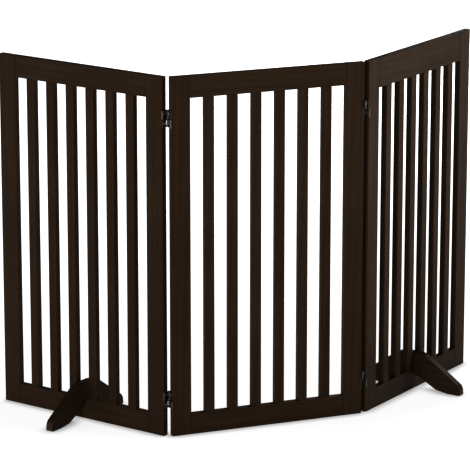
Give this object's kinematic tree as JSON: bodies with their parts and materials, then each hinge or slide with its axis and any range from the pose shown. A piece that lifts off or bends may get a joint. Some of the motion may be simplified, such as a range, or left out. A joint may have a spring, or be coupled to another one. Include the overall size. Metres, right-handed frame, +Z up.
{
  "type": "folding pet gate",
  "caption": "Freestanding folding pet gate of hinged, slatted dark-stained wooden panels, with slip-on wooden feet across the bottom rails of the side panels.",
  "frame": {"origin": "middle of the underside of the middle panel's bottom rail, at mid-thickness", "axes": "+X along the middle panel to the right as seen from the front, +Y behind it, where the side panels fold, +Z up"},
  "size_m": [1.2473, 0.4582, 0.915],
  "materials": {
    "stained_wood": "satin espresso stain",
    "hinge_metal": "antique nickel plate, satin"
  },
  "bodies": {
    "middle_panel": {"middle_left_stile": "stained_wood", "middle_right_stile": "stained_wood", "middle_bottom_rail": "stained_wood", "middle_top_rail": "stained_wood", "middle_slat_1": "stained_wood", "middle_slat_2": "stained_wood", "middle_slat_3": "stained_wood", "middle_slat_4": "stained_wood", "middle_slat_5": "stained_wood", "middle_slat_6": "stained_wood", "left_upper_hinge_inner_leaf": "hinge_metal", "left_lower_hinge_inner_leaf": "hinge_metal", "right_upper_hinge_inner_leaf": "hinge_metal", "right_lower_hinge_inner_leaf": "hinge_metal", "left_upper_hinge_bottom_link": "hinge_metal", "left_lower_hinge_bottom_link": "hinge_metal", "right_upper_hinge_top_link": "hinge_metal", "right_lower_hinge_top_link": "hinge_metal"},
    "left_panel": {"left_left_stile": "stained_wood", "left_right_stile": "stained_wood", "left_bottom_rail": "stained_wood", "left_top_rail": "stained_wood", "left_slat_1": "stained_wood", "left_slat_2": "stained_wood", "left_slat_3": "stained_wood", "left_slat_4": "stained_wood", "left_slat_5": "stained_wood", "left_slat_6": "stained_wood", "left_upper_hinge_outer_leaf": "hinge_metal", "left_lower_hinge_outer_leaf": "hinge_metal", "left_upper_hinge_top_link": "hinge_metal", "left_lower_hinge_top_link": "hinge_metal"},
    "left_foot": {"left_foot": "stained_wood"},
    "right_panel": {"right_left_stile": "stained_wood", "right_right_stile": "stained_wood", "right_bottom_rail": "stained_wood", "right_top_rail": "stained_wood", "right_slat_1": "stained_wood", "right_slat_2": "stained_wood", "right_slat_3": "stained_wood", "right_slat_4": "stained_wood", "right_slat_5": "stained_wood", "right_slat_6": "stained_wood", "right_upper_hinge_outer_leaf": "hinge_metal", "right_lower_hinge_outer_leaf": "hinge_metal", "right_upper_hinge_bottom_link": "hinge_metal", "right_lower_hinge_bottom_link": "hinge_metal"},
    "right_foot": {"right_foot": "stained_wood"}
  },
  "joints": [
    {"name": "left_fold", "type": "hinge", "parent": "middle_panel", "child": "left_panel", "pos_m": [-0.2597, 0.0106, 0], "axis": [0, 0, -1], "range_deg": [-57.5, 57.5]},
    {"name": "left_foot_lift", "type": "slide", "parent": "left_panel", "child": "left_foot", "axis": [0, 0, 1], "range_m": [0, 0.06]},
    {"name": "right_fold", "type": "hinge", "parent": "middle_panel", "child": "right_panel", "pos_m": [0.2597, 0.0106, 0], "axis": [0, 0, 1], "range_deg": [-35, 80]},
    {"name": "right_foot_lift", "type": "slide", "parent": "right_panel", "child": "right_foot", "axis": [0, 0, 1], "range_m": [0, 0.06]}
  ]
}
